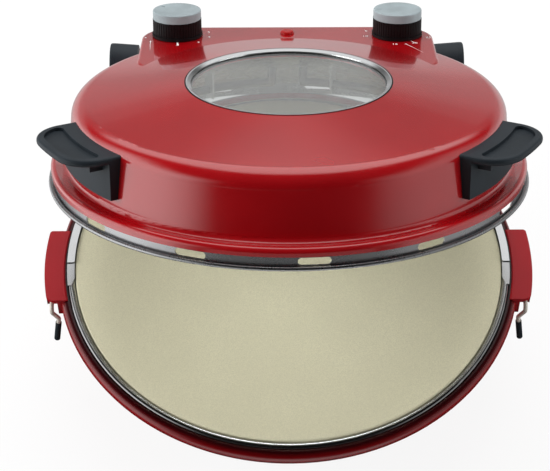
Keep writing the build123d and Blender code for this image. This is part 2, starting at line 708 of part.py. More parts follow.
# Sleeves over the ends of the latch wires
for name, side in SIDES.items():
    arm_start, arm_end = (Vector(*point) for point in latch_path(side)[-2:])
    upward = (arm_start - arm_end).normalized()
    sleeve_plane = Plane(origin=arm_end - upward * LATCH_SLEEVE_END, x_dir=(0, 1, 0), z_dir=upward)
    with BuildPart() as latch_sleeve:
        with BuildSketch(sleeve_plane):
            Circle(LATCH_SLEEVE_R)
        extrude(amount=LATCH_SLEEVE_L)
        with BuildSketch(sleeve_plane.offset(LATCH_SLEEVE_END)):
            Circle(LATCH_WIRE_R + FIT)
        extrude(amount=LATCH_SLEEVE_L, mode=Mode.SUBTRACT)
        fillet(latch_sleeve.faces().sort_by(Axis.Z)[0].edges(), radius=LATCH_SLEEVE_END / 2)
    finish(latch_sleeve.part, f"{name}_latch_sleeve")

# Hinge posts: an arm that rises from the back of the base to a tapered barrel
for name, side in SIDES.items():
    inner_face = Plane(origin=(side * POST_IN_X, HINGE_Y, HINGE_Z), x_dir=(0, 1, 0), z_dir=(side, 0, 0))
    hinge_point = Vector(HINGE_Y, HINGE_Z)
    arm_heel = hinge_point + Vector(*polar(POST_BARREL_IN_R, POST_HEEL_ANGLE))
    arm_top = hinge_point + Vector(*polar(POST_BARREL_IN_R, POST_TOP_ANGLE))
    with BuildPart() as hinge_post:
        with BuildSketch(inner_face):
            Circle(POST_BARREL_IN_R)
        with BuildSketch(inner_face.offset(POST_BARREL_L)):
            Circle(POST_BARREL_OUT_R)
        loft()
        with BuildSketch(Plane.YZ.offset(side * POST_IN_X)):
            with BuildLine():
                Polyline((POST_ROOT_Y, POST_ROOT_Z), (POST_KNEE_Y, POST_KNEE_Z), arm_heel, hinge_point,
                         arm_top, (POST_KNEE_Y, LIP_TOP_Z - POST_ROOT_TOP_DROP),
                         (POST_ROOT_Y, LIP_TOP_Z - POST_ROOT_TOP_DROP), close=True)
            make_face()
        extrude(amount=side * POST_ARM_W)
        add(base_clear, mode=Mode.SUBTRACT)
        with BuildSketch(inner_face):
            Circle(PIN_R + FIT)
        extrude(amount=POST_BARREL_L - CAP_PLUG_L, mode=Mode.SUBTRACT)
        with BuildSketch(inner_face.offset(POST_BARREL_L)):
            Circle(CAP_PLUG_R + FIT)
        extrude(amount=-CAP_PLUG_L, mode=Mode.SUBTRACT)
    finish(hinge_post.part, f"{name}_hinge_post")

    with BuildPart() as hinge_pin:
        with BuildSketch(inner_face.offset(-PIN_IN_LID)):
            Circle(PIN_R)
        extrude(amount=PIN_IN_LID + POST_BARREL_L - CAP_PLUG_L - FIT)
        chamfer(hinge_pin.edges().filter_by(GeomType.CIRCLE), length=PIN_CHAMFER)
    finish(hinge_pin.part, f"{name}_hinge_pin")

    with BuildPart() as hinge_cap:
        with BuildSketch(inner_face.offset(POST_BARREL_L + FIT)):
            Circle(POST_BARREL_OUT_R)
        extrude(amount=CAP_L)
        fillet(hinge_cap.faces().sort_by(Axis((0, 0, 0), (side, 0, 0)))[-1].edges(), radius=CAP_DOME)
        with BuildSketch(inner_face.offset(POST_BARREL_L + FIT)):
            Circle(CAP_PLUG_R)
        extrude(amount=SLIDE - CAP_PLUG_L)
    finish(hinge_cap.part, f"{name}_hinge_cap")

# Places on the lid that its screws, shafts and gland pass through
handle_screws_at = [inward_plane(-90 + side * (90 - HANDLE_ANGLE + spread), HANDLE_SCREW_SEAT_R,
                                 HANDLE_SCREW_Z)
                    for side in SIDES.values() for spread in (-HANDLE_SCREW_SPREAD, HANDLE_SCREW_SPREAD)]
gland_plane = Plane(origin=(GLAND_X, HINGE_Y + HOOD_BARREL_R, HINGE_Z), x_dir=(1, 0, 0), z_dir=(0, 1, 0))

# Lid shell: the drum and the control hood in one, hollow, with a collar round the window
with BuildPart() as lid_shell:
    add(filled_drum())
    add(filled_hood())
    add(filled_drum(-LID_T), mode=Mode.SUBTRACT)
    add(turned_ring(0, SKIRT_R - LID_T, LID_EDGE_Z, RIDGE_Z), mode=Mode.SUBTRACT)
    add(turned_ring(0, WINDOW_HOLE_R, SKIRT_Z, WINDOW_Z), mode=Mode.SUBTRACT)
    with BuildSketch(Plane.XZ):
        with Locations((WINDOW_HOLE_R, COLLAR_Z)):
            Rectangle(LID_T, COLLAR_H - LID_T, align=(Align.MIN, Align.MIN))
            Rectangle(COLLAR_LIP_W, COLLAR_LIP_T, align=(Align.MAX, Align.MIN))
    revolve(axis=Axis.Z)
hood_hollow = filled_hood(HOOD_T) - turned_ring(0, SKIRT_R, LID_EDGE_Z, HOOD_FLOOR_Z)
with BuildPart() as lid_body:
    add(lid_shell.part)
    add(hood_hollow, mode=Mode.SUBTRACT)
    for side in SIDES.values():
        boss_plane = Plane(origin=(side * HOOD_FOOT_HALF_W, HINGE_Y, HINGE_Z), z_dir=(-side, 0, 0))
        add(rod(boss_plane, BOSS_R, PIN_IN_LID))
        add(rod(boss_plane, PIN_R + FIT, PIN_IN_LID), mode=Mode.SUBTRACT)
        add(rod(Plane(origin=(side * KNOB_X, KNOB_Y, PANEL_Z - HOOD_T)), SHAFT_R + RUNNING, HOOD_T),
            mode=Mode.SUBTRACT)
    add(rod(Plane(origin=(0, LAMP_Y, PANEL_Z - HOOD_T)), LAMP_STEM_R + FIT, HOOD_T), mode=Mode.SUBTRACT)
    for plane in handle_screws_at:
        add(rod(plane, SCREW_R + FIT, -HANDLE_SCREW_L - SLIDE), mode=Mode.SUBTRACT)
    add(rod(gland_plane.offset(-2 * HOOD_T), GLAND_R + FIT, 2 * HOOD_T), mode=Mode.SUBTRACT)
finish(lid_body.part, "lid_shell", on_lid=True)

# Lower cover of the hood: a floor behind the skirt that turns into the trough under the hinge
with BuildPart() as hinge_cover:
    with BuildSketch(Plane.YZ.offset(-HOOD_FOOT_HALF_W)):
        with Locations((HINGE_Y, HINGE_Z)):
            Circle(HOOD_BARREL_R)
        with Locations((HINGE_Y, SKIRT_Z)):
            Rectangle(HINGE_Y, COVER_T, align=(Align.MAX, Align.MAX))
            Rectangle(4 * HINGE_Y, HINGE_Z, align=(Align.CENTER, Align.MAX), mode=Mode.INTERSECT)
    extrude(amount=2 * HOOD_FOOT_HALF_W)
    with BuildSketch(Plane.YZ.offset(-HOOD_FOOT_HALF_W + COVER_T)):
        with Locations((HINGE_Y, HINGE_Z)):
            Circle(HOOD_BARREL_R - COVER_T)
    extrude(amount=2 * (HOOD_FOOT_HALF_W - COVER_T), mode=Mode.SUBTRACT)
    add(turned_ring(0, BEAD_RING_R + BEAD_R + RUNNING, LIP_TOP_Z, SKIRT_Z), mode=Mode.SUBTRACT)
    with BuildSketch(Plane.XY.offset(SKIRT_Z - FIT)):
        Rectangle(2 * HINGE_Y, 3 * HINGE_Y)
    extrude(amount=FIT, mode=Mode.SUBTRACT)
finish(hinge_cover.part, "hinge_cover", on_lid=True)

# Reflector of the lid: a slotted band with a rolled bead, and a cone up to the window's collar
with BuildPart() as lid_reflector:
    with BuildSketch(Plane.XZ):
        with BuildLine():
            Polyline((BAND_OUT_R, LID_EDGE_Z), (BAND_OUT_R, CEILING_Z), (CEILING_OUT_R, CEILING_Z),
                     (CEILING_IN_R, COLLAR_Z), (CEILING_IN_R, COLLAR_Z + COLLAR_LIP_T))
            offset(amount=REFLECTOR_T, side=Side.LEFT)
        make_face()
        with Locations((BEAD_RING_R, BEAD_Z)):
            Circle(BEAD_R)
        with Locations((BAND_OUT_R - REFLECTOR_T, LID_EDGE_Z)):
            Rectangle(BEAD_RING_R - BAND_OUT_R + REFLECTOR_T, REFLECTOR_T, align=(Align.MIN, Align.MIN))
    revolve(axis=Axis.Z)
    for index in range(SLOT_COUNT):
        with BuildSketch(outward_plane(SLOT_START_ANGLE + 360 / SLOT_COUNT * index, BAND_OUT_R,
                                       SKIRT_Z - SLOT_DROP - SLOT_H / 2)):
            SlotOverall(SLOT_L, SLOT_H)
        extrude(amount=-(REFLECTOR_T + SLOT_H), mode=Mode.SUBTRACT)
    add(element_tail_holes(UPPER_ELEMENT_R, UPPER_ELEMENT_Z, WINDOW_Z), mode=Mode.SUBTRACT)
finish(lid_reflector.part, "lid_reflector", on_lid=True)

# Upper heating element, and the plates that hold it under the cone
finish(element(UPPER_ELEMENT_R, UPPER_ELEMENT_Z, UPPER_ELEMENT_Z + UPPER_TAIL_L), "upper_heater",
       on_lid=True)
with BuildPart() as upper_heater_clips:
    add(clip_plates(UPPER_ELEMENT_R, UPPER_ELEMENT_Z, UPPER_CLIP_ANGLES,
                    UPPER_ELEMENT_Z - ELEMENT_R - CLIP_EDGE, UPPER_ELEMENT_Z + 2 * UPPER_ELEMENT_DROP))
    with BuildSketch(Plane.XZ):
        with BuildLine():
            Polyline((CEILING_IN_R, COLLAR_Z), (CEILING_OUT_R, CEILING_Z), (CEILING_OUT_R, 2 * COLLAR_Z),
                     (CEILING_IN_R, 2 * COLLAR_Z), close=True)
        make_face()
        offset(amount=REFLECTOR_T + FIT, kind=Kind.INTERSECTION)
    revolve(axis=Axis.Z, mode=Mode.SUBTRACT)
finish(upper_heater_clips.part, "upper_heater_clips", on_lid=True)

# Window: a gasket with a pad under the glass, the glass, and the polished ring over its edge
with BuildPart() as window_gasket:
    with BuildSketch(Plane.XZ):
        with Locations((WINDOW_HOLE_R - FIT, PAD_Z)):
            Rectangle(GASKET_T, WINDOW_Z + GASKET_PROUD - PAD_Z, align=(Align.MAX, Align.MIN))
            Rectangle(COLLAR_LIP_W - FIT, GASKET_PAD_T - FIT, align=(Align.MAX, Align.MIN))
    revolve(axis=Axis.Z)
finish(window_gasket.part, "window_gasket", on_lid=True)
with BuildPart() as window_glass:
    with BuildSketch(Plane.XY.offset(GLASS_Z)):
        Circle(GLASS_R)
    extrude(amount=GLASS_T)
finish(window_glass.part, "window_glass", on_lid=True)
with BuildPart() as window_ring:
    ring_z = GLASS_Z + GLASS_T + FIT
    with BuildSketch(Plane.XZ):
        with BuildLine():
            Polyline((GLASS_R - WINDOW_RING_W, ring_z), (GLASS_R, ring_z),
                     (GLASS_R, WINDOW_Z + WINDOW_RING_PROUD),
                     (GLASS_R - WINDOW_RING_TOP_W, WINDOW_Z + WINDOW_RING_PROUD),
                     (GLASS_R - WINDOW_RING_W, ring_z + WINDOW_RING_INNER_T), close=True)
        make_face()
    revolve(axis=Axis.Z)
finish(window_ring.part, "window_ring", on_lid=True)

# Handles: a wing with a recessed top, on a plate that follows the wall of the lid
for name, side in SIDES.items():
    handle_angle = -90 + side * (90 - HANDLE_ANGLE)
    front = -side
    with BuildPart() as handle:
        with BuildSketch(turned_plane(handle_angle, HANDLE_TOP_Z - HANDLE_T)):
            add(wing_outline())
        extrude(amount=HANDLE_T)
        fillet(handle.edges().filter_by(Plane.XY), radius=HANDLE_EDGE_R)
        with BuildSketch(turned_plane(handle_angle, HANDLE_TOP_Z - PAN_DEPTH)):
            add(wing_outline(PAN_RIM))
            Circle(WALL_TOP_R + PAN_INNER_RIM, mode=Mode.SUBTRACT)
            offset(amount=-PAN_CORNER_R, mode=Mode.REPLACE)
            offset(amount=PAN_CORNER_R, mode=Mode.REPLACE)
        extrude(amount=PAN_DEPTH, mode=Mode.SUBTRACT)
        plate_z = HANDLE_TOP_Z - HANDLE_T - HANDLE_PLATE_H
        with BuildSketch(turned_plane(handle_angle, plate_z)):
            Circle(WALL_FOOT_R + HANDLE_PLATE_T)
            with Locations((SHOULDER_RING_R, 0)):
                Rectangle(HANDLE_REACH * 2, 2 * HANDLE_HALF_W, align=(Align.MIN, Align.CENTER),
                          mode=Mode.INTERSECT)
        extrude(amount=HANDLE_PLATE_H + HANDLE_T / 2)
        with BuildSketch(turned_plane(handle_angle, HANDLE_TOP_Z - HANDLE_T - CATCH_H)):
            with Locations((WALL_FOOT_R, front * CATCH_OFFSET)):
                Rectangle(HANDLE_PLATE_T + CATCH_L, CATCH_L, align=(Align.MIN, Align.CENTER))
        extrude(amount=CATCH_H + HANDLE_T / 2)
        add(drum_clear, mode=Mode.SUBTRACT)
        for plane in handle_screws_at:
            add(rod(plane, SCREW_R + FIT, -HANDLE_SCREW_L - SLIDE), mode=Mode.SUBTRACT)
    finish(handle.part, f"{name}_handle", on_lid=True)

# Screws of the handles, four alike
with BuildPart() as handle_screws:
    for plane in handle_screws_at:
        add(screw(plane, HANDLE_SCREW_L))
finish(handle_screws.part, "handle_screws", on_lid=True)

# Knobs: a fluted body whose shaft runs into the mechanism, and a plain cap with a pointer line
for name, side in SIDES.items():
    knob_z = PANEL_Z + KNOB_GAP
    cap_z = knob_z + KNOB_H
    with BuildPart() as knob:
        with BuildSketch(Plane(origin=(side * KNOB_X, KNOB_Y, knob_z))):
            Circle(KNOB_R)
            with PolarLocations(KNOB_R, FLUTE_COUNT):
                Circle(FLUTE_R, mode=Mode.SUBTRACT)
        extrude(amount=KNOB_H)
        with BuildSketch(Plane(origin=(side * KNOB_X, KNOB_Y, knob_z))):
            Circle(KNOB_FLANGE_R)
        extrude(amount=KNOB_FLANGE_H)
        with BuildSketch(Plane(origin=(side * KNOB_X, KNOB_Y, knob_z + SHAFT_IN_KNOB))):
            Circle(SHAFT_R)
        extrude(amount=-SHAFT_L)
    finish(knob.part, f"{name}_knob", on_lid=True)
    with BuildPart() as knob_cap:
        with BuildSketch(Plane(origin=(side * KNOB_X, KNOB_Y, cap_z + FIT))):
            Circle(KNOB_CAP_R)
        extrude(amount=KNOB_CAP_H)
        fillet(knob_cap.faces().sort_by(Axis.Z)[-1].edges(), radius=KNOB_CAP_EDGE_R)
        with BuildSketch(Plane(origin=(side * KNOB_X, KNOB_Y, cap_z + KNOB_CAP_H + FIT),
                               x_dir=(*polar(1, MARK_ANGLES[name]), 0), z_dir=(0, 0, 1))):
            with Locations((MARK_R, 0)):
                Rectangle(MARK_L, MARK_W)
        extrude(amount=-MARK_DEPTH, mode=Mode.SUBTRACT)
    finish(knob_cap.part, f"{name}_knob_cap", on_lid=True)

# Mechanisms under the panel: the thermostat on the left and the timer on the right
for name, side in (("thermostat", SIDES["left"]), ("timer", SIDES["right"])):
    mechanism_plane = Plane(origin=(side * KNOB_X, KNOB_Y, PANEL_Z - HOOD_T - FIT), x_dir=(1, 0, 0),
                            z_dir=(0, 0, -1))
    with BuildPart() as mechanism:
        with BuildSketch(mechanism_plane):
            Circle(MECHANISM_R)
        extrude(amount=MECHANISM_H)
        with BuildSketch(mechanism_plane):
            SlotOverall(MECHANISM_FLANGE_L, MECHANISM_FLANGE_W)
        extrude(amount=MECHANISM_FLANGE_T)
        with BuildSketch(mechanism_plane):
            Circle(SHAFT_R + FIT)
        extrude(amount=SHAFT_L - SHAFT_IN_KNOB, mode=Mode.SUBTRACT)
    finish(mechanism.part, name, on_lid=True)

# Lamp: a domed lens with a stem through the panel
with BuildPart() as indicator_lens:
    lamp_plane = Plane(origin=(0, LAMP_Y, PANEL_Z + FIT))
    with BuildSketch(lamp_plane):
        Circle(LAMP_R)
    extrude(amount=LAMP_DOME_H)
    fillet(indicator_lens.faces().sort_by(Axis.Z)[-1].edges(), radius=LAMP_EDGE_R)
    with BuildSketch(lamp_plane):
        Circle(LAMP_STEM_R)
    extrude(amount=-LAMP_STEM_L)
finish(indicator_lens.part, "indicator_lens", on_lid=True)

# Cord gland: a tapered sleeve in the back of the hood
with BuildPart() as cord_gland:
    with BuildSketch(gland_plane.offset(FIT)):
        Circle(GLAND_R)
    with BuildSketch(gland_plane.offset(GLAND_L)):
        Circle(GLAND_TIP_R)
    loft()
    with BuildSketch(gland_plane.offset(FIT)):
        Circle(GLAND_R)
    extrude(amount=-2 * HOOD_T)
    with BuildSketch(gland_plane.offset(-2 * HOOD_T)):
        Circle(GLAND_BORE_R)
    extrude(amount=2 * HOOD_T + GLAND_L, mode=Mode.SUBTRACT)
finish(cord_gland.part, "cord_gland", on_lid=True)
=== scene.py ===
"""A countertop pizza oven with its lid ajar, dressed for a plain studio photograph.

Lengths are metres and angles are degrees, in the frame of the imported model: the table is Z = 0,
the front is -Y and the origin is the centre of the footprint.
"""
import json
import logging
from dataclasses import dataclass, field
from enum import Enum
from math import cos, radians, sin
from typing import Any

import bmesh
import bpy
from mathutils import Matrix, Vector


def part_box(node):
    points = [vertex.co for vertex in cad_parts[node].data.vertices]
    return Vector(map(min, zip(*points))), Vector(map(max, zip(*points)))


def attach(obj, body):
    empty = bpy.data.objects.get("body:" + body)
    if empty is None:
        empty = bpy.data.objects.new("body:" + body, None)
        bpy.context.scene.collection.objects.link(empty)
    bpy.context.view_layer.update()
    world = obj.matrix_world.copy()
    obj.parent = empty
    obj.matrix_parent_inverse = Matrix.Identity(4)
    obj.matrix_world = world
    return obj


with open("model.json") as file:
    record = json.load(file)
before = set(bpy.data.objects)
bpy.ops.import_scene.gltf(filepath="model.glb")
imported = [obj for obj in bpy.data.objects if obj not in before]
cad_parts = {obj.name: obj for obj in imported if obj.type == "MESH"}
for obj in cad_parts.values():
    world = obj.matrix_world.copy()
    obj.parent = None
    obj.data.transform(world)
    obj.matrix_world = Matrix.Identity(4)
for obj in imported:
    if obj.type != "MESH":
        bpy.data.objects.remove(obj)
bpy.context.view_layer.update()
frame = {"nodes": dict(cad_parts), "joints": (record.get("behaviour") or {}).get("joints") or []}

LOG = logging.getLogger("pizza_oven")

Colour = tuple[float, float, float]
Point = tuple[float, float, float]
Span = tuple[float, float]

MM = 0.001
WHITE: Colour = (1.0, 1.0, 1.0)
RISING: Span = (0.0, 1.0)
FALLING: Span = (1.0, 0.0)
NOISE_MIDDLE = 0.5

# A Mix node's colour sockets go by number, because its number sockets have the same names.
MIX_FACTOR, MIX_LOW, MIX_HIGH, MIX_RESULT = 0, 6, 7, 2

# The stone lies in the middle of the round base, so its box gives the axis of the base.
BASE_AXIS: Point = tuple((low + high) / 2 for low, high in zip(*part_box("pizza_stone")))


class Body(str, Enum):
    """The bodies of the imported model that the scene's own pieces ride on."""

    LID = "lid"


class Side(str, Enum):
    """The two sides of the oven, as someone in front of it sees them and the nodes spell them."""

    LEFT = "left"
    RIGHT = "right"


# Shader maths


class Wire:
    """An output socket of a shader tree that takes part in Python expressions."""

    def __init__(self, tree: "ShaderTree", socket: bpy.types.NodeSocket | None) -> None:
        """Hold the socket together with the tree that new Math nodes go into."""
        self.tree = tree
        self.socket = socket

    def _math(self, operation: str, first: "Wire | float", second: "Wire | float") -> "Wire":
        """Add one Math node.

        Args:
            operation: the Math node's operation.
            first: the first value or wire.
            second: the second value or wire.

        Returns:
            The wire that carries the result.
        """
        return self.tree.add("ShaderNodeMath", {"operation": operation}, {0: first, 1: second})

    def __add__(self, other: "Wire | float") -> "Wire":
        """Sum of two values."""
        return self._math("ADD", self, other)

    __radd__ = __add__

    def __mul__(self, other: "Wire | float") -> "Wire":
        """Product of two values."""
        return self._math("MULTIPLY", self, other)

    __rmul__ = __mul__

    def __sub__(self, other: "Wire | float") -> "Wire":
        """Difference of two values."""
        return self._math("SUBTRACT", self, other)

    def __rsub__(self, other: float) -> "Wire":
        """Difference of a number and this value."""
        return self._math("SUBTRACT", other, self)

    def __truediv__(self, other: "Wire | float") -> "Wire":
        """Quotient of two values."""
        return self._math("DIVIDE", self, other)

    def __pow__(self, other: float) -> "Wire":
        """This value to a power."""
        return self._math("POWER", self, other)

    def __neg__(self) -> "Wire":
        """This value with its sign turned round."""
        return self * -1.0

    def at_most(self, other: "Wire | float") -> "Wire":
        """The smaller of two values."""
        return self._math("MINIMUM", self, other)

    def swing(self, amount: float) -> "Wire":
        """Noise around one half as a swing of some amount around zero."""
        return amount * (self - NOISE_MIDDLE)

    def ramped(self, span: Span, ends: Span = RISING) -> "Wire":
        """A smooth, clamped step.

        Args:
            span: the values where the step starts and ends.
            ends: the results at and below its start, and at and above its end.

        Returns:
            The wire that carries the step.
        """
        return self.tree.add("ShaderNodeMapRange", {"interpolation_type": "SMOOTHSTEP"},
                             {"Value": self, "From Min": span[0], "From Max": span[1],
                              "To Min": ends[0], "To Max": ends[1]}, "Result")


@dataclass(frozen=True)
class Grain:
    """One kind of noise: the size of a patch, its finer layers and how strong these are."""

    size: float
    detail: float = 2.0
    rough: float = 0.5


class ShaderTree:
    """The node tree of a material or of the world, filled through one method."""

    def __init__(self, owner: bpy.types.Material | bpy.types.World) -> None:
        """Empty the owner's node tree and keep it.

        Args:
            owner: the material or the world that the tree belongs to.
        """
        owner.use_nodes = True
        self.nodes = owner.node_tree.nodes
        self.links = owner.node_tree.links
        self.nodes.clear()

    def add(self, kind: str, settings: dict[str, Any], values: dict[str | int, Any],
            result: str | int = 0) -> Wire:
        """Add one node, with its settings first and its sockets after them.

        Args:
            kind: the node's type.
            settings: the node's properties, with "stops" for a ramp's places and colours.
            values: numbers, colours or wires by the name or number of their input socket.
            result: the name or number of the output socket that the caller wants.

        Returns:
            The wire that leaves the node, which holds no socket where the node has no output.
        """
        node = self.nodes.new(kind)
        for name, setting in settings.items():
            if name == "stops":
                self._set_stops(node.color_ramp, setting)
            else:
                setattr(node, name, setting)
        for name, value in values.items():
            socket = node.inputs[name]
            if isinstance(value, Wire):
                self.links.new(value.socket, socket)
            elif socket.type == "RGBA":
                socket.default_value = (*value, 1.0)
            else:
                socket.default_value = value
        return Wire(self, node.outputs[result] if node.outputs else None)

    @staticmethod
    def _set_stops(ramp: bpy.types.ColorRamp, stops: list[tuple[float, Colour]]) -> None:
        """Give a ramp its stops, of which it has two at first.

        Args:
            ramp: the ramp.
            stops: the place and the colour of each stop, in order.
        """
        while len(ramp.elements) < len(stops):
            ramp.elements.new(1.0)
        for element, (place, colour) in zip(ramp.elements, stops):
            element.position = place
            element.color = (*colour, 1.0)

    def place(self) -> Wire:
        """The point on the piece, in metres, in the piece's own axes."""
        return self.add("ShaderNodeTexCoord", {}, {}, "Object")

    def part(self, vector: Wire, axis: str) -> Wire:
        """One of the three parts of a vector, by its axis."""
        return self.add("ShaderNodeSeparateXYZ", {}, {0: vector}, axis)

    def noise(self, place: Wire, grain: Grain) -> Wire:
        """Noise around one half, read at a place."""
        return self.add("ShaderNodeTexNoise", {},
                        {"Vector": place, "Scale": 1.0 / grain.size, "Detail": grain.detail,
                         "Roughness": grain.rough}, "Fac")

    def vector(self, operation: str, first: Wire, second: Point) -> Wire:
        """A vector that comes from another one and three numbers.

        Args:
            operation: the Vector Math node's operation.
            first: the wire that carries the other vector.
            second: the three numbers.

        Returns:
            The wire that carries the result.
        """
        return self.add("ShaderNodeVectorMath", {"operation": operation},
                        {0: first, 1: second}, "Vector")

    def blend(self, mask: Wire, low: Wire | Colour, high: Wire | Colour) -> Wire:
        """A colour between two others.

        Args:
            mask: 0 for the low colour and 1 for the high one.
            low: the colour or wire at 0.
            high: the colour or wire at 1.

        Returns:
            The wire that carries the colour.
        """
        return self.add("ShaderNodeMix", {"data_type": "RGBA"},
                        {MIX_FACTOR: mask, MIX_LOW: low, MIX_HIGH: high}, MIX_RESULT)

    def bump(self, height: Wire, depth: float) -> Wire:
        """A normal bent by a height of 0 to 1 that stands for a depth in metres."""
        return self.add("ShaderNodeBump", {},
                        {"Height": height, "Distance": depth, "Strength": 1.0}, "Normal")

    def surface(self, shader: Wire) -> None:
        """Send a shader to the output that the tree's owner has.

        Args:
            shader: the wire that carries the shader.
        """
        is_world = shader.socket.node.type == "BACKGROUND"
        kind = "ShaderNodeOutputWorld" if is_world else "ShaderNodeOutputMaterial"
        self.add(kind, {}, {"Surface": shader})


# Finishes


@dataclass(frozen=True)
class Finish:
    """What every finish has: a name, a colour and a base roughness."""

    name: str
    colour: Colour
    roughness: float

    def shade(self, factor: float) -> Colour:
        """The finish's colour, made darker or lighter by a factor."""
        return tuple(min(1.0, channel * factor) for channel in self.colour)

    def mottled(self, tree: ShaderTree, mask: Wire, shades: Span) -> Wire:
        """The finish's colour between a darker and a lighter shade of it.

        Args:
            tree: the tree that the wires belong to.
            mask: 0 for the darker shade and 1 for the lighter one.
            shades: the factors of the two shades.

        Returns:
            The wire that carries the colour.
        """
        return tree.blend(mask, self.shade(shades[0]), self.shade(shades[1]))

    def material(self) -> bpy.types.Material:
        """Make the finish's material.

        Returns:
            The new material.
        """
        made = bpy.data.materials.new(self.name)
        tree = ShaderTree(made)
        sockets = self.sockets(tree, tree.place())
        tree.surface(tree.add("ShaderNodeBsdfPrincipled", {}, sockets, "BSDF"))
        made.diffuse_color = (*self.colour, 1.0)
        return made

    def sockets(self, tree: ShaderTree, place: Wire) -> dict[str, Any]:
        """The values and wires of the surface shader's sockets.

        Args:
            tree: the tree that the wires belong to.
            place: the point on the piece.

        Returns:
            Values and wires by socket name.
        """
        raise NotImplementedError


@dataclass(frozen=True)
class Enamel(Finish):
    """Gloss paint on pressed steel or on moulded covers, with a faint orange peel."""

    coat: float = 1.0
    coat_ior: float = 2.0
    coat_roughness: float = 0.06
    gloss: float = 0.5
    drift: Grain = Grain(60 * MM)
    drift_span: Span = (0.3, 0.7)
    drift_shades: Span = (0.93, 1.05)
    fog: Grain = Grain(9 * MM, detail=3.0)
    fog_swing: float = 0.06
    peel: Grain = Grain(1.6 * MM, detail=1.0)
    peel_depth: float = 0.0012 * MM

    def sockets(self, tree: ShaderTree, place: Wire) -> dict[str, Any]:
        """Slow drift of the colour, a clear top coat and a fine, shallow peel.

        Args:
            tree: the tree that the wires belong to.
            place: the point on the piece.

        Returns:
            Values and wires by socket name.
        """
        drift = tree.noise(place, self.drift).ramped(self.drift_span)
        fog = tree.noise(place, self.fog)
        peel = tree.noise(place, self.peel)
        return {
            "Base Color": self.mottled(tree, drift, self.drift_shades),
            "Roughness": self.roughness + fog.swing(self.fog_swing),
            "Coat Weight": self.coat,
            "Coat Roughness": self.coat_roughness,
            "Coat IOR": self.coat_ior,
            "Specular IOR Level": self.gloss,
            "Normal": tree.bump(peel, self.peel_depth),
        }


@dataclass(frozen=True)
class PaintedShadeEnamel(Enamel):
    """The base's gloss paint, with painted shade: near black and without its clear coat where the
    lip turns down beside the tray.
    """

    # Where the painted shade lies on the lip, and its near-black colour.
    painted_shade_radius: float = 168.5 * MM
    painted_shade_width: float = 7.5 * MM
    painted_shade_bottom: float = 86.0 * MM
    painted_shade_fade: float = 2.0 * MM
    painted_shade_colour: Colour = (0.022, 0.0001, 0.0008)

    def sockets(self, tree: ShaderTree, place: Wire) -> dict[str, Any]:
        """Gloss paint with painted shade: its colour goes near black towards the seam between the
        lip and the tray.

        Args:
            tree: the tree that the wires belong to.
            place: the point on the piece.

        Returns:
            Values and wires by socket name.
        """
        sockets = super().sockets(tree, place)
        from_axis = tree.vector("SUBTRACT", place, BASE_AXIS)
        across, along = (tree.part(from_axis, axis) for axis in "XY")
        radius = (across * across + along * along) ** 0.5
        beyond = radius.ramped((self.painted_shade_radius, self.painted_shade_radius + self.painted_shade_width))
        bottom = (self.painted_shade_bottom - self.painted_shade_fade, self.painted_shade_bottom)
        below = tree.part(place, "Z").ramped(bottom, FALLING)
        # Painted shade: on the lip beside the tray and above the lip's bottom, the colour is
        # blended to near black and the clear coat is taken off.
        outside_painted_shade = (beyond + below).at_most(1.0)
        sockets["Base Color"] = tree.blend(outside_painted_shade, self.painted_shade_colour, sockets["Base Color"])
        sockets["Coat Weight"] = outside_painted_shade * self.coat
        return sockets


@dataclass(frozen=True)
class SheetSteel(Finish):
    """Bare steel sheet or rod, drawn or polished, with fine scratches and a breath of haze."""

    metal: float = 1.0
    haze: float = 0.06
    tint: Colour = (0.62, 0.60, 0.56)
    tint_share: float = 0.10
    handling: Grain = Grain(22 * MM, detail=3.0)
    handling_span: Span = (0.42, 0.72)
    scratches: Grain = Grain(2.2 * MM, detail=4.0, rough=0.6)
    scratch_axis: Point = (1.0, 1.0, 12.0)
    scratch_depth: float = 0.0006 * MM
    scratch_swing: float = 0.05

    def sockets(self, tree: ShaderTree, place: Wire) -> dict[str, Any]:
        """Metal whose roughness drifts, over fine scratches that run one way.

        Args:
            tree: the tree that the wires belong to.
            place: the point on the piece.

        Returns:
            Values and wires by socket name.
        """
        along_sheet = tree.vector("MULTIPLY", place, self.scratch_axis)
        scratches = tree.noise(along_sheet, self.scratches)
        handled = tree.noise(place, self.handling).ramped(self.handling_span)
        return {
            "Base Color": tree.blend(handled * self.tint_share, self.colour, self.tint),
            "Metallic": self.metal,
            "Roughness": self.roughness + self.haze * handled + scratches.swing(self.scratch_swing),
            "Normal": tree.bump(scratches, self.scratch_depth),
        }


@dataclass(frozen=True)
class ElementSheath(Finish):
    """The oxidised sheath of a tubular element, with patches of heat colour."""

    metal: float = 0.7
    heat: Grain = Grain(26 * MM)
    heat_stops: tuple[float, float, float] = (0.25, 0.5, 0.75)
    cool_shade: float = 0.6
    straw: Colour = (0.30, 0.22, 0.14)
    grime: Grain = Grain(1.3 * MM, detail=3.0)
    grime_share: float = 0.35
    grime_shade: float = 0.5
    grime_swing: float = 0.2
    grime_depth: float = 0.02 * MM

    def sockets(self, tree: ShaderTree, place: Wire) -> dict[str, Any]:
        """Dull metal with straw and brown patches and a dry surface.

        Args:
            tree: the tree that the wires belong to.
            place: the point on the piece.

        Returns:
            Values and wires by socket name.
        """
        heat = tree.noise(place, self.heat)
        grime = tree.noise(place, self.grime)
        colours = (self.shade(self.cool_shade), self.colour, self.straw)
        stops = list(zip(self.heat_stops, colours))
        tinted = tree.add("ShaderNodeValToRGB", {"stops": stops}, {0: heat}, "Color")
        return {
            "Base Color": tree.blend(self.grime_share * grime, tinted,
                                     self.shade(self.grime_shade)),
            "Metallic": self.metal,
            "Roughness": self.roughness + grime.swing(self.grime_swing),
            "Normal": tree.bump(grime, self.grime_depth),
        }


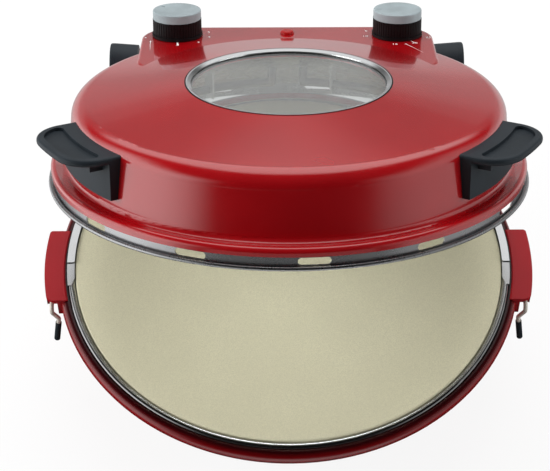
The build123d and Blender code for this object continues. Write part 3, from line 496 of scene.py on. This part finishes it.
@dataclass(frozen=True)
class Cordierite(Finish):
    """Unglazed baking stone: sandy, pale, with fine darker and lighter grains."""

    cloud: Grain = Grain(45 * MM, detail=3.0)
    cloud_span: Span = (0.35, 0.7)
    cloud_shades: Span = (0.975, 1.02)
    sand: Grain = Grain(0.7 * MM, detail=3.0, rough=0.7)
    sand_span: Span = (0.36, 0.64)
    sand_shade: float = 0.86
    sand_swing: float = 0.08
    coarse: Grain = Grain(2.24 * MM, rough=0.6)
    coarse_span: Span = (0.5, 0.75)
    coarse_shade: float = 1.12
    coarse_share: float = 0.10
    speck_spacing: float = 1.82 * MM
    speck_span: Span = (0.05, 0.14)
    speck_share: float = 0.35
    speck_colour: Colour = (0.26, 0.20, 0.12)
    pit_depth: float = 0.05 * MM

    def sockets(self, tree: ShaderTree, place: Wire) -> dict[str, Any]:
        """Sand of two sizes over slow clouds, and pits where the dark grains are.

        Args:
            tree: the tree that the wires belong to.
            place: the point on the piece.

        Returns:
            Values and wires by socket name.
        """
        cloud = tree.noise(place, self.cloud).ramped(self.cloud_span)
        sand = tree.noise(place, self.sand)
        coarse = tree.noise(place, self.coarse).ramped(self.coarse_span)
        from_speck = tree.add("ShaderNodeTexVoronoi", {"feature": "F1"},
                              {"Vector": place, "Scale": 1.0 / self.speck_spacing,
                               "Randomness": 1.0}, "Distance")
        ground = self.mottled(tree, cloud, self.cloud_shades)
        sanded = tree.blend(sand.ramped(self.sand_span), self.shade(self.sand_shade), ground)
        clouded = tree.blend(self.coarse_share * coarse, sanded, self.shade(self.coarse_shade))
        dark = self.speck_share * from_speck.ramped(self.speck_span, FALLING)
        return {
            "Base Color": tree.blend(dark, clouded, self.speck_colour),
            "Roughness": self.roughness + sand.swing(self.sand_swing),
            "Normal": tree.bump(sand - dark, self.pit_depth),
        }


@dataclass(frozen=True)
class Moulded(Finish):
    """Moulded plastic with the fine spark texture of its tool."""

    gloss: float = 0.32
    spark: Grain = Grain(0.45 * MM, detail=3.0, rough=0.6)
    spark_swing: float = 0.06
    spark_depth: float = 0.010 * MM
    flow: Grain = Grain(18 * MM, detail=3.0)
    flow_span: Span = (0.3, 0.7)
    flow_shades: Span = (0.9, 1.12)
    flow_swing: float = 0.10

    def sockets(self, tree: ShaderTree, place: Wire) -> dict[str, Any]:
        """A fine spark texture, flow clouds in the gloss and a slight drift of the colour.

        Args:
            tree: the tree that the wires belong to.
            place: the point on the piece.

        Returns:
            Values and wires by socket name.
        """
        spark = tree.noise(place, self.spark)
        flow = tree.noise(place, self.flow)
        return {
            "Base Color": self.mottled(tree, flow.ramped(self.flow_span), self.flow_shades),
            "Roughness": (self.roughness + flow.swing(self.flow_swing)
                          + spark.swing(self.spark_swing)),
            "Specular IOR Level": self.gloss,
            "Normal": tree.bump(spark, self.spark_depth),
        }


@dataclass(frozen=True)
class ClearGlass(Finish):
    """Toughened glass, faintly green, clear through and through."""

    ior: float = 1.5
    dust: Grain = Grain(14 * MM, detail=4.0)
    dust_span: Span = (0.5, 0.8)
    dust_haze: float = 0.03

    def sockets(self, tree: ShaderTree, place: Wire) -> dict[str, Any]:
        """Clear glass with a breath of dust that dulls it in places.

        Args:
            tree: the tree that the wires belong to.
            place: the point on the piece.

        Returns:
            Values and wires by socket name.
        """
        dust = tree.noise(place, self.dust).ramped(self.dust_span)
        return {
            "Base Color": self.colour,
            "Roughness": self.roughness + self.dust_haze * dust,
            "Transmission Weight": 1.0,
            "IOR": self.ior,
        }


@dataclass(frozen=True)
class LampLens(Finish):
    """Red translucent lens of an unlit lamp."""

    ior: float = 1.49
    clearness: float = 0.35
    ripple: Grain = Grain(1.1 * MM, detail=1.0)
    ripple_shades: Span = (0.8, 1.2)
    ripple_depth: float = 0.02 * MM

    def sockets(self, tree: ShaderTree, place: Wire) -> dict[str, Any]:
        """Glossy red that lets some light in, with a fine prism ripple.

        Args:
            tree: the tree that the wires belong to.
            place: the point on the piece.

        Returns:
            Values and wires by socket name.
        """
        ripple = tree.noise(place, self.ripple)
        return {
            "Base Color": self.mottled(tree, ripple, self.ripple_shades),
            "Roughness": self.roughness,
            "Transmission Weight": self.clearness,
            "IOR": self.ior,
            "Normal": tree.bump(ripple, self.ripple_depth),
        }


@dataclass(frozen=True)
class PrintInk(Finish):
    """Pad-printed ink, thinner in small patches."""

    cover: Grain = Grain(0.5 * MM)
    cover_span: Span = (0.3, 0.6)
    cover_shades: Span = (0.86, 1.0)
    cover_depth: float = 0.004 * MM

    def sockets(self, tree: ShaderTree, place: Wire) -> dict[str, Any]:
        """Dull ink that is a little darker and lower where it is thin.

        Args:
            tree: the tree that the wires belong to.
            place: the point on the piece.

        Returns:
            Values and wires by socket name.
        """
        cover = tree.noise(place, self.cover)
        return {
            "Base Color": self.mottled(tree, cover.ramped(self.cover_span), self.cover_shades),
            "Roughness": self.roughness,
            "Normal": tree.bump(cover, self.cover_depth),
        }


class Finishes(Enum):
    """Every finish of the oven; each makes its material once."""

    RED_ENAMEL = Enamel("red_enamel", (0.35, 0.0012, 0.004), 0.24, gloss=0.8)
    RED_COVER = Enamel("red_cover", (0.31, 0.004, 0.009), 0.34, coat=0.15, coat_ior=1.5,
                       gloss=0.25)
    # The base's enamel carries painted shade along the lip beside the tray.
    BASE_ENAMEL = PaintedShadeEnamel("base_enamel", (0.33, 0.0012, 0.004), 0.24)
    BRIGHT_SHEET = SheetSteel("bright_sheet", (0.62, 0.625, 0.63), 0.20,
                              scratch_depth=0.0003 * MM)
    BAND_SHEET = SheetSteel("band_sheet", (0.60, 0.61, 0.625), 0.27,
                            scratch_depth=0.0003 * MM, haze=0.03)
    POLISHED = SheetSteel("polished_trim", (0.80, 0.81, 0.82), 0.16,
                          scratch_depth=0.0003 * MM, haze=0.03)
    WIRE_STEEL = SheetSteel("wire_steel", (0.66, 0.61, 0.54), 0.30,
                            scratch_axis=(1.0, 8.0, 1.0), metal=0.25)
    ZINC = SheetSteel("zinc_screws", (0.55, 0.55, 0.53), 0.35, haze=0.12)
    SHEATH = ElementSheath("element_sheath", (0.17, 0.16, 0.15), 0.48)
    STONE = Cordierite("cordierite", (0.73, 0.693, 0.495), 0.88)
    BLACK_PLASTIC = Moulded("handle_plastic", (0.0165, 0.0215, 0.0265), 0.45)
    BLACK_MATT = Moulded("knob_plastic", (0.005, 0.005, 0.0055), 0.52)
    GREY_PLASTIC = Moulded("cap_plastic", (0.275, 0.325, 0.342), 0.34, spark_depth=0.004 * MM)
    RUBBER = Moulded("black_rubber", (0.012, 0.012, 0.012), 0.68)
    GLASS = ClearGlass("window_glass", (0.93, 0.97, 0.96), 0.01)
    LENS = LampLens("lamp_lens", (0.50, 0.012, 0.012), 0.12)
    WHITE_INK = PrintInk("white_print", (0.80, 0.80, 0.80), 0.5)

    @property
    def material(self) -> bpy.types.Material:
        """The finish's material, made when it is first asked for.

        Returns:
            The material, the same one each time.
        """
        if self not in MADE:
            MADE[self] = self.value.material()
        return MADE[self]


MADE: dict[Finishes, bpy.types.Material] = {}


# Pieces


def dress(node: str, finish: Finishes) -> None:
    """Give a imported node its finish.

    Args:
        node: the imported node's name.
        finish: the finish that it gets.
    """
    piece = frame["nodes"][node]
    if not piece.material_slots:
        piece.data.materials.append(finish.material)
    for slot in piece.material_slots:
        slot.material = finish.material
    LOG.info("%s: dressed as %s", node, finish.value.name)


def mesh_piece(name: str, shape: bmesh.types.BMesh, finish: Finishes,
               body: Body) -> bpy.types.Object:
    """Turn a finished bmesh into a piece that rides on a body.

    Args:
        name: the piece's name.
        shape: the bmesh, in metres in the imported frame; it is freed here.
        finish: the piece's finish.
        body: the body that carries it.

    Returns:
        The new object.
    """
    mesh = bpy.data.meshes.new(name)
    shape.to_mesh(mesh)
    shape.free()
    mesh.materials.append(finish.material)
    piece = bpy.data.objects.new(name, mesh)
    bpy.context.scene.collection.objects.link(piece)
    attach(piece, body.value)
    LOG.info("%s: built with %d faces, rides on %s", name, len(mesh.polygons), body.value)
    return piece


def joint_record(name: str) -> dict[str, Any]:
    """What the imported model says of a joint."""
    return next(joint for joint in frame["joints"] if joint["name"] == name)


def joint_place(name: str) -> Vector:
    """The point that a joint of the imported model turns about."""
    return Vector(joint_record(name)["pos_m"])


def open_lid() -> Matrix:
    """The move from the shut lid to the lid at rest, about its hinge.

    Returns:
        The move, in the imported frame.
    """
    hinge = joint_place("lid_hinge")
    lowest_turn, _ = joint_record("lid_hinge")["range_deg"]
    turn = Matrix.Rotation(radians(lowest_turn), 4, "X")
    return Matrix.Translation(hinge) @ turn @ Matrix.Translation(-hinge)


@dataclass
class DialMark:
    """A printed mark beside a knob: its angle about the knob, and its number or else a dot."""

    angle: float
    number: str = ""


@dataclass
class ControlDial:
    """The print on the panel round one knob."""

    side: Side
    marks: list[DialMark]
    print_radius: float = 25.0 * MM
    shaft_reach: float = 6.0 * MM
    number_size: float = 4.59 * MM
    number_steps: int = 3
    dot_radius: float = 0.7 * MM
    dot_sides: int = 16
    ink_lift: float = 0.06 * MM
    ink_depth: float = 0.05 * MM

    def seat(self) -> Matrix:
        """The frame on the panel under the knob, in which the panel's top is Z = 0.

        Returns:
            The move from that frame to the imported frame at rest.
        """
        to_rest = open_lid()
        to_shut = to_rest.inverted()
        axis = to_shut @ joint_place(f"{self.side.value}_knob_turn")
        shell = frame["nodes"]["lid_shell"].data.vertices
        shut = (to_shut @ vertex.co for vertex in shell)
        rim = [point.z for point in shut if (point.xy - axis.xy).length < self.shaft_reach]
        return to_rest @ Matrix.Translation((axis.x, axis.y, max(rim)))

    def number_mesh(self, text: str) -> bpy.types.Mesh:
        """A number as flat faces with a little depth, centred on its own origin.

        Args:
            text: the number.

        Returns:
            The mesh, in metres.
        """
        curve = bpy.data.curves.new("number", "FONT")
        curve.body = text
        curve.size = self.number_size
        curve.align_x = "CENTER"
        curve.align_y = "CENTER"
        curve.resolution_u = self.number_steps
        curve.extrude = self.ink_depth / 2
        holder = bpy.data.objects.new("number", curve)
        bpy.context.scene.collection.objects.link(holder)
        evaluated = holder.evaluated_get(bpy.context.evaluated_depsgraph_get())
        mesh = bpy.data.meshes.new_from_object(evaluated)
        bpy.data.objects.remove(holder)
        return mesh

    def print_mark(self, shape: bmesh.types.BMesh, mark: DialMark) -> None:
        """Add one mark to the print.

        Args:
            shape: the print so far, in the frame of the seat.
            mark: the mark to add.
        """
        turn = radians(mark.angle)
        place = Vector((cos(turn), sin(turn), 0.0)) * self.print_radius
        place.z = self.ink_lift
        if mark.number:
            before = len(shape.verts)
            shape.from_mesh(self.number_mesh(mark.number))
            shape.verts.ensure_lookup_table()
            bmesh.ops.translate(shape, verts=shape.verts[before:], vec=place)
        else:
            bmesh.ops.create_cone(shape, cap_ends=True, segments=self.dot_sides,
                                  radius1=self.dot_radius, radius2=self.dot_radius,
                                  depth=self.ink_depth, matrix=Matrix.Translation(place))

    def build(self) -> bpy.types.Object:
        """Print the dots and numbers of the dial on the panel.

        Returns:
            The print as one piece.
        """
        shape = bmesh.new()
        for mark in self.marks:
            self.print_mark(shape, mark)
        shape.transform(self.seat())
        return mesh_piece(f"{self.side.value}_dial_print", shape, Finishes.WHITE_INK, Body.LID)


@dataclass
class BakingBase:
    """The painted base with the tray, stone, lower element, feet, latches and hinge posts."""

    finishes: dict[str, Finishes] = field(default_factory=lambda: {
        "base_shell": Finishes.BASE_ENAMEL,
        "bottom_plate": Finishes.BRIGHT_SHEET,
        "bottom_screws": Finishes.ZINC,
        "lower_reflector": Finishes.BRIGHT_SHEET,
        "rear_rim_guard": Finishes.POLISHED,
        "lower_heater": Finishes.SHEATH,
        "lower_heater_clips": Finishes.ZINC,
        "pizza_stone": Finishes.STONE,
        "left_side_block": Finishes.RED_COVER,
        "right_side_block": Finishes.RED_COVER,
        "front_left_foot": Finishes.RUBBER,
        "front_right_foot": Finishes.RUBBER,
        "rear_left_foot": Finishes.RUBBER,
        "rear_right_foot": Finishes.RUBBER,
        "left_latch_wire": Finishes.WIRE_STEEL,
        "right_latch_wire": Finishes.WIRE_STEEL,
        "left_latch_sleeve": Finishes.BLACK_PLASTIC,
        "right_latch_sleeve": Finishes.BLACK_PLASTIC,
        "left_hinge_post": Finishes.BLACK_PLASTIC,
        "right_hinge_post": Finishes.BLACK_PLASTIC,
        "left_hinge_cap": Finishes.BLACK_PLASTIC,
        "right_hinge_cap": Finishes.BLACK_PLASTIC,
        "left_hinge_pin": Finishes.ZINC,
        "right_hinge_pin": Finishes.ZINC,
    })

    def build(self) -> None:
        """Dress every piece of the base."""
        for node, finish in self.finishes.items():
            dress(node, finish)


@dataclass
class HeatedLid:
    """The lid: shell, reflector, upper element, window, handles and controls."""

    finishes: dict[str, Finishes] = field(default_factory=lambda: {
        "lid_shell": Finishes.RED_ENAMEL,
        "hinge_cover": Finishes.RED_COVER,
        "lid_reflector": Finishes.BAND_SHEET,
        "upper_heater": Finishes.SHEATH,
        "upper_heater_clips": Finishes.ZINC,
        "window_gasket": Finishes.RUBBER,
        "window_glass": Finishes.GLASS,
        "window_ring": Finishes.POLISHED,
        "left_handle": Finishes.BLACK_PLASTIC,
        "right_handle": Finishes.BLACK_PLASTIC,
        "handle_screws": Finishes.ZINC,
        "left_knob": Finishes.BLACK_MATT,
        "right_knob": Finishes.BLACK_MATT,
        "left_knob_cap": Finishes.GREY_PLASTIC,
        "right_knob_cap": Finishes.GREY_PLASTIC,
        "thermostat": Finishes.ZINC,
        "timer": Finishes.BLACK_MATT,
        "indicator_lens": Finishes.LENS,
        "cord_gland": Finishes.RUBBER,
    })
    dials: list[ControlDial] = field(default_factory=lambda: [
        ControlDial(Side.LEFT, [
            DialMark(-165.0), DialMark(-142.0), DialMark(-87.0, "2"), DialMark(-48.0, "3"),
            DialMark(-12.0, "4"), DialMark(17.0, "5"),
        ]),
        ControlDial(Side.RIGHT, [
            DialMark(158.0, "5"), DialMark(-170.0, "10"), DialMark(-97.0, "15"),
            DialMark(-78.0), DialMark(-61.0, "20"), DialMark(-19.0, "25"),
        ]),
    ])

    def build(self) -> None:
        """Dress every piece of the lid and print the dials."""
        for node, finish in self.finishes.items():
            dress(node, finish)
        for dial in self.dials:
            dial.build()


# Studio


@dataclass
class Softbox:
    """A rectangular lamp that faces the oven and casts light without showing in reflections."""

    name: str
    place: Point
    width: float
    height: float
    power: float
    target: Point = (0.0, 0.0, 0.1)

    def build(self) -> bpy.types.Object:
        """Hang the lamp.

        Returns:
            The lamp's object.
        """
        lamp = bpy.data.lights.new(self.name, "AREA")
        lamp.shape = "RECTANGLE"
        lamp.size, lamp.size_y = self.width, self.height
        lamp.energy = self.power
        holder = bpy.data.objects.new(self.name, lamp)
        holder.location = self.place
        aim = Vector(self.target) - Vector(self.place)
        holder.rotation_euler = aim.to_track_quat("-Z", "Y").to_euler()
        holder.visible_glossy = False
        bpy.context.scene.collection.objects.link(holder)
        LOG.info("%s: %.0f W", self.name, self.power)
        return holder


@dataclass(frozen=True)
class Surroundings:
    """What shiny pieces mirror: side panels, a bright wall behind, the table and a dim front."""

    # Brightness, of which 1 is white.
    left: float = 1.0
    right: float = 0.34
    overhead: float = 0.84
    horizon: float = 0.11
    near_table: float = 0.52
    middle_table: float = 0.29
    far_table: float = 0.17
    window_card: float = 0.56
    front_table: float = 0.56
    front_horizon: float = 0.15
    rest: float = 0.003

    # Where something starts to show and where it shows in full, by the share of its level
    # direction that points to the left, the right, the rear or the front.
    left_edge: Span = (0.58, 0.94)
    right_edge: Span = (0.60, 0.92)
    panels_rear_edge: Span = (0.35, 0.80)
    wall_edge: Span = (0.70, 0.90)
    wall_depth: Span = (0.22, 0.50)
    rear_table_edge: Span = (0.20, 0.70)
    card_edge: Span = (0.990, 0.998)
    front_edge: Span = (0.50, 0.90)

    # The same for how far a direction points up.
    panels_top: Span = (0.30, 0.70)
    wall_rise: Span = (0.09, 0.27)
    front_rise: Span = (0.05, 0.25)

    # Where something on the table starts or ends, in metres towards the rear.
    near_end: Span = (0.55, 1.00)
    middle_end: Span = (1.30, 3.40)
    card_start: Span = (1.15, 1.40)
    card_end: Span = (1.90, 2.60)
    front_start: Span = (-2.00, -1.00)
    front_end: Span = (-0.35, -0.20)

    # The patch under the oven, which mirrors no panel, by the square of the distance.
    oven_patch: Span = (0.05, 0.36)

    def compass(self, tree: ShaderTree, place: Wire) -> tuple[Wire, Wire]:
        """How far to the right and how far to the rear something lies, each -1 to 1.

        Args:
            tree: the tree that the wires belong to.
            place: a point on the table, or a direction.

        Returns:
            The shares of its level direction that point to the right and to the rear.
        """
        across, along = (tree.part(place, axis) for axis in "XY")
        reach = (across * across + along * along) ** 0.5
        return across / reach, along / reach

    def panels(self, rightward: Wire, rearward: Wire) -> Wire:
        """Brightness of the panels left and right of the oven.

        Args:
            rightward: how far to the right something lies, by the compass.
            rearward: how far to the rear it lies.

        Returns:
            The wire that carries the brightness.
        """
        left = (-rightward).ramped(self.left_edge) * self.left
        right = rightward.ramped(self.right_edge) * self.right
        return (left + right) * rearward.ramped(self.panels_rear_edge, FALLING)

    def table(self, tree: ShaderTree, place: Wire) -> Wire:
        """Brightness of the table in reflections.

        Args:
            tree: the tree that the wires belong to.
            place: a point on the table.

        Returns:
            The wire that carries the brightness.
        """
        across, along = (tree.part(place, axis) for axis in "XY")
        rightward, rearward = self.compass(tree, place)
        near = along.ramped(self.near_end, (self.near_table, self.middle_table))
        far = along.ramped(self.middle_end) * (self.middle_table - self.far_table)
        behind = rearward.ramped(self.rear_table_edge) * (near - far)
        card = (rearward.ramped(self.card_edge) * along.ramped(self.card_start)
                * along.ramped(self.card_end, FALLING))
        before = ((-rearward).ramped(self.front_edge) * along.ramped(self.front_start)
                  * along.ramped(self.front_end, FALLING))
        away = (across * across + along * along).ramped(self.oven_patch)
        return (behind + card * self.window_card + before * self.front_table
                + self.panels(rightward, rearward) * away + self.rest)

    def sky(self, tree: ShaderTree, direction: Wire) -> Wire:
        """Brightness of the surroundings above the table in reflections.

        Args:
            tree: the tree that the wires belong to.
            direction: the direction that is looked in.

        Returns:
            The wire that carries the brightness.
        """
        along, height = (tree.part(direction, axis) for axis in "YZ")
        rightward, rearward = self.compass(tree, direction)
        wall = (height.ramped(self.wall_rise, (self.horizon, self.overhead))
                * rearward.ramped(self.wall_edge) * along.ramped(self.wall_depth))
        before = ((-rearward).ramped(self.front_edge)
                  * height.ramped(self.front_rise, (self.front_horizon, 0.0)))
        sides = self.panels(rightward, rearward) * height.ramped(self.panels_top, FALLING)
        return wall + before + sides + self.rest


@dataclass
class PhotoCamera:
    """The camera of the photograph, by the point it looks at and how it stands about it."""

    target: Vector = field(default_factory=lambda: Vector((-9.94, 4.42, 95.0)) * MM)
    distance: float = 1.338
    elevation: float = 51.76
    turn: float = -0.07
    roll: float = -0.15
    sensor: float = 36.0
    focal_length: float = 115.1

    def build(self) -> bpy.types.Object:
        """Stand the camera up and make it the scene's own.

        Returns:
            The camera's object.
        """
        data = bpy.data.cameras.new("photo_camera")
        data.sensor_width = self.sensor
        data.lens = self.focal_length
        rise, turn = radians(self.elevation), radians(self.turn)
        back = Vector((sin(turn) * cos(rise), -cos(turn) * cos(rise), sin(rise)))
        camera = bpy.data.objects.new("photo_camera", data)
        camera.location = self.target + back * self.distance
        look = (-back).to_track_quat("-Z", "Y").to_matrix().to_4x4()
        camera.rotation_euler = (look @ Matrix.Rotation(radians(self.roll), 4, "Z")).to_euler()
        bpy.context.scene.collection.objects.link(camera)
        bpy.context.scene.camera = camera
        return camera


@dataclass
class Studio:
    """White table and white surroundings, with what shiny pieces mirror, and softboxes."""

    floor_half: float = 6.0
    floor_glow: float = 0.88
    floor_colour: Colour = (0.86, 0.86, 0.86)
    floor_roughness: float = 0.6
    ambient: float = 0.42
    ambient_span: Span = (-0.9, 0.1)
    ambient_ends: Span = (0.12, 1.0)
    mirrored: Surroundings = field(default_factory=Surroundings)
    softboxes: list[Softbox] = field(default_factory=lambda: [
        Softbox("top_softbox", (0.0, 1.05, 1.65), width=1.8, height=1.2, power=29.0),
        Softbox("left_softbox", (-1.80, -0.10, 0.75), width=1.1, height=1.1, power=39.0),
        Softbox("right_softbox", (1.75, -0.25, 0.75), width=1.1, height=1.1, power=20.0),
    ])

    @staticmethod
    def path(tree: ShaderTree, kind: str) -> Wire:
        """1 for rays of one kind, named as the Light Path node names it, and 0 for others."""
        return tree.add("ShaderNodeLightPath", {}, {}, f"Is {kind} Ray")

    def seen(self, tree: ShaderTree) -> Wire:
        """1 for rays that reach the camera straight or through glass, and 0 for others."""
        return (self.path(tree, "Camera") + self.path(tree, "Transmission")).at_most(1.0)

    def build_world(self) -> None:
        """White surroundings for the camera, panels for mirrors, and soft light for the rest."""
        world = bpy.data.worlds.new("studio_world")
        bpy.context.scene.world = world
        tree = ShaderTree(world)
        direction = tree.add("ShaderNodeTexCoord", {}, {}, "Generated")
        seen = self.seen(tree)
        glossy = self.path(tree, "Glossy")
        from_front = tree.part(direction, "Y").ramped(self.ambient_span, self.ambient_ends)
        plain = seen + from_front * self.ambient * (1.0 - seen)
        light = plain * (1.0 - glossy) + self.mirrored.sky(tree, direction) * glossy
        tree.surface(tree.add("ShaderNodeBackground", {}, {"Color": WHITE, "Strength": light}))

    def floor_material(self) -> bpy.types.Material:
        """White paint that takes shadows, glows for the camera and looks its part in mirrors.

        Returns:
            The new material.
        """
        made = bpy.data.materials.new("studio_floor")
        tree = ShaderTree(made)
        paint = tree.add("ShaderNodeBsdfPrincipled", {},
                         {"Base Color": self.floor_colour, "Roughness": self.floor_roughness})
        seen = self.seen(tree)
        glossy = self.path(tree, "Glossy")
        colour = tree.blend(glossy, WHITE, self.mirrored.table(tree, tree.place()))
        glow = tree.add("ShaderNodeEmission", {}, {"Color": colour, "Strength": 1.0})
        share = (seen * self.floor_glow + glossy).at_most(1.0)
        tree.surface(tree.add("ShaderNodeMixShader", {}, {0: share, 1: paint, 2: glow}))
        return made

    def build_floor(self) -> bpy.types.Object:
        """A wide white table that shows as white and still takes the oven's shadow.

        Returns:
            The table's object.
        """
        shape = bmesh.new()
        bmesh.ops.create_grid(shape, x_segments=1, y_segments=1, size=self.floor_half)
        mesh = bpy.data.meshes.new("studio_floor")
        shape.to_mesh(mesh)
        shape.free()
        mesh.materials.append(self.floor_material())
        floor = bpy.data.objects.new("studio_floor", mesh)
        bpy.context.scene.collection.objects.link(floor)
        return floor

    def build(self) -> None:
        """Set the view, the surroundings, the table, the lamps and the camera."""
        bpy.context.scene.view_settings.view_transform = "Standard"
        self.build_world()
        self.build_floor()
        for softbox in self.softboxes:
            softbox.build()
        PhotoCamera().build()


def main() -> None:
    """Build the oven's sub-assemblies and the studio, in order."""
    logging.basicConfig(level=logging.INFO, format="%(message)s")
    BakingBase().build()
    HeatedLid().build()
    Studio().build()


if __name__ == "__main__":
    main()
